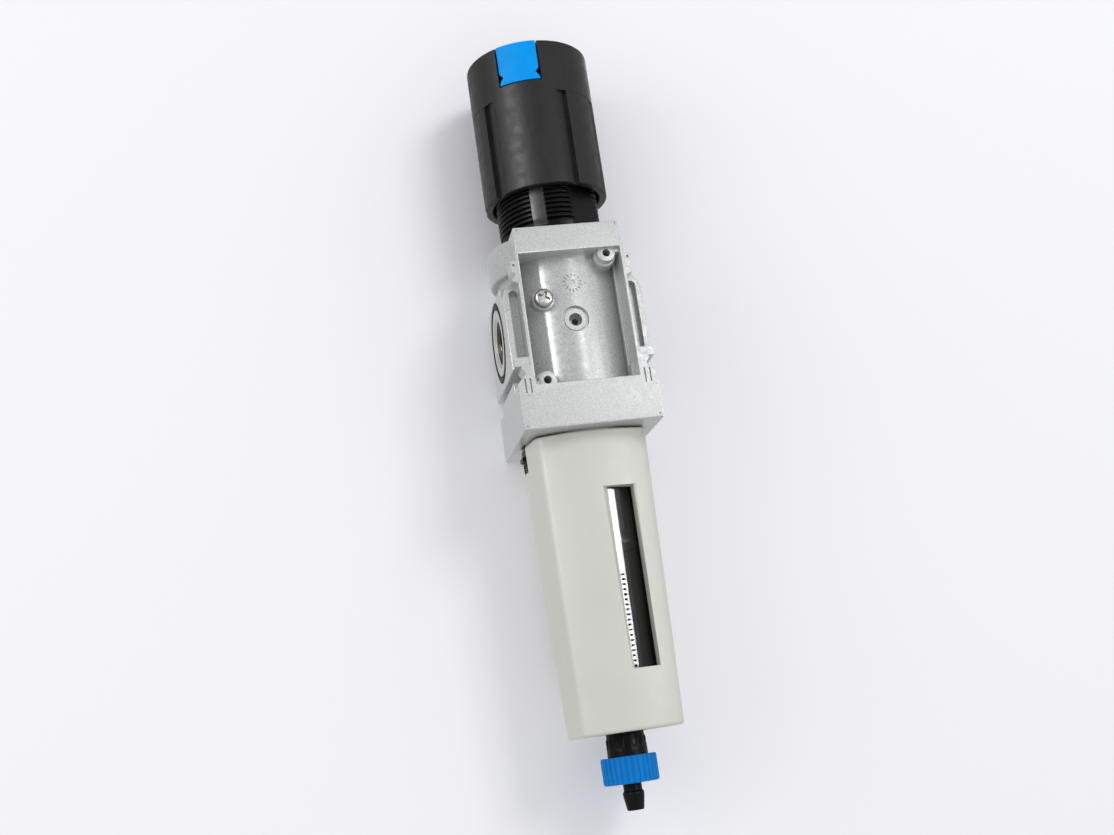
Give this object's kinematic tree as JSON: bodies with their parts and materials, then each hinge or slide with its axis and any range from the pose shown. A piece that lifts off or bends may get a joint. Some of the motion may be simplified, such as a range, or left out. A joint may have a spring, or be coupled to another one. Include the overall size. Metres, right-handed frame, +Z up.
{
  "type": "air pressure regulator",
  "caption": "Compressed-air filter-regulator: cast body with side ports, pull-out adjusting knob on top, guarded filter bowl below with a turn-type drain.",
  "frame": {"origin": "where the axis of the two side ports crosses the main axis of body, knob and bowl", "axes": "+Z up along the main axis towards the adjusting knob, -Y out of the front recess, +X towards the outlet port"},
  "size_m": [0.041, 0.0415, 0.2246],
  "materials": {
    "casting": "satin silver paint on a die casting, fine speckle",
    "guard_grey": "satin warm light grey",
    "black_plastic": "satin black",
    "grip_black": "fine moulded grain, black",
    "blue_plastic": "satin bright blue",
    "wheel_blue": "satin blue, moulded",
    "clear_bowl": "clear moulded bowl",
    "rubber": "matt black seal",
    "steel": "zinc-plated",
    "brass": "turned brass",
    "filter_media": "sintered, white",
    "white_plastic": "moulded, off-white"
  },
  "bodies": {
    "root": {"body_housing": "casting", "port_seal_left": "rubber", "port_seal_right": "rubber", "blanking_screw": "steel", "blanking_screw_washer": "rubber", "bonnet": "black_plastic", "lock_ring": "black_plastic", "spindle_washer": "white_plastic", "diaphragm": "rubber", "valve_guide": "white_plastic", "deflector": "white_plastic", "filter_element": "filter_media", "baffle_disc": "white_plastic", "filter_stud": "steel"},
    "spindle": {"spindle": "steel", "spindle_clip": "steel"},
    "knob": {"knob_skirt": "grip_black", "knob_cap": "grip_black", "knob_hub": "black_plastic"},
    "lock_insert": {"lock_insert": "blue_plastic"},
    "spring_plate": {"spring_plate": "brass", "main_spring": "steel"},
    "diaphragm_plates": {"diaphragm_plate_upper": "steel", "diaphragm_plate_lower": "steel"},
    "valve": {"valve_stem": "brass", "valve_seat_rubber": "rubber", "valve_spring": "steel"},
    "bowl_unit": {"bowl_guard": "guard_grey", "bowl": "clear_bowl", "bowl_seal": "rubber", "drain_body": "black_plastic", "drain_nut": "brass", "drain_washer": "rubber"},
    "guard_latch": {"guard_latch": "black_plastic", "latch_spring": "steel"},
    "drain_wheel": {"drain_wheel": "wheel_blue"},
    "drain_nozzle": {"drain_nozzle": "black_plastic"}
  },
  "joints": [
    {"name": "spindle_turn", "type": "hinge", "parent": "root", "child": "spindle", "pos_m": [0, 0, 0.065], "axis": [0, 0, -1], "range_deg": [0, 1440]},
    {"name": "knob_push", "type": "slide", "parent": "spindle", "child": "knob", "axis": [0, 0, 1], "range_m": [-0.003, 0]},
    {"name": "lock_pull", "type": "slide", "parent": "knob", "child": "lock_insert", "axis": [0, 0, 1], "range_m": [0, 0.006]},
    {"name": "spring_plate_travel", "type": "slide", "parent": "root", "child": "spring_plate", "axis": [0, 0, 1], "range_m": [-0.005, 0], "deforming": ["main_spring"]},
    {"name": "diaphragm_travel", "type": "slide", "parent": "root", "child": "diaphragm_plates", "axis": [0, 0, 1], "range_m": [-0.001, 0], "stiffness_N_per_m": 500, "springref_m": 0.002, "deforming": ["diaphragm"]},
    {"name": "valve_travel", "type": "slide", "parent": "root", "child": "valve", "axis": [0, 0, 1], "range_m": [-0.001, 0], "deforming": ["valve_spring"]},
    {"name": "bowl_turn", "type": "hinge", "parent": "root", "child": "bowl_unit", "pos_m": [0, 0, -0.0275], "axis": [0, 0, 1], "range_deg": [0, 25]},
    {"name": "latch_press", "type": "slide", "parent": "bowl_unit", "child": "guard_latch", "axis": [0, 0, -1], "range_m": [0, 0.0018], "stiffness_N_per_m": 200, "springref_m": -0.001, "deforming": ["latch_spring"]},
    {"name": "drain_turn", "type": "hinge", "parent": "bowl_unit", "child": "drain_wheel", "pos_m": [0, 0, -0.126], "axis": [0, 0, 1], "range_deg": [0, 270]},
    {"name": "drain_travel", "type": "slide", "parent": "bowl_unit", "child": "drain_nozzle", "axis": [0, 0, 1], "range_m": [0, 0.0015]}
  ],
  "couplings": [
    {"joint": "spring_plate_travel", "follows": "spindle_turn", "m_per_rad": -0.00019894},
    {"joint": "valve_travel", "follows": "diaphragm_travel", "ratio": 1},
    {"joint": "drain_travel", "follows": "drain_turn", "m_per_rad": 0.00031831}
  ]
}
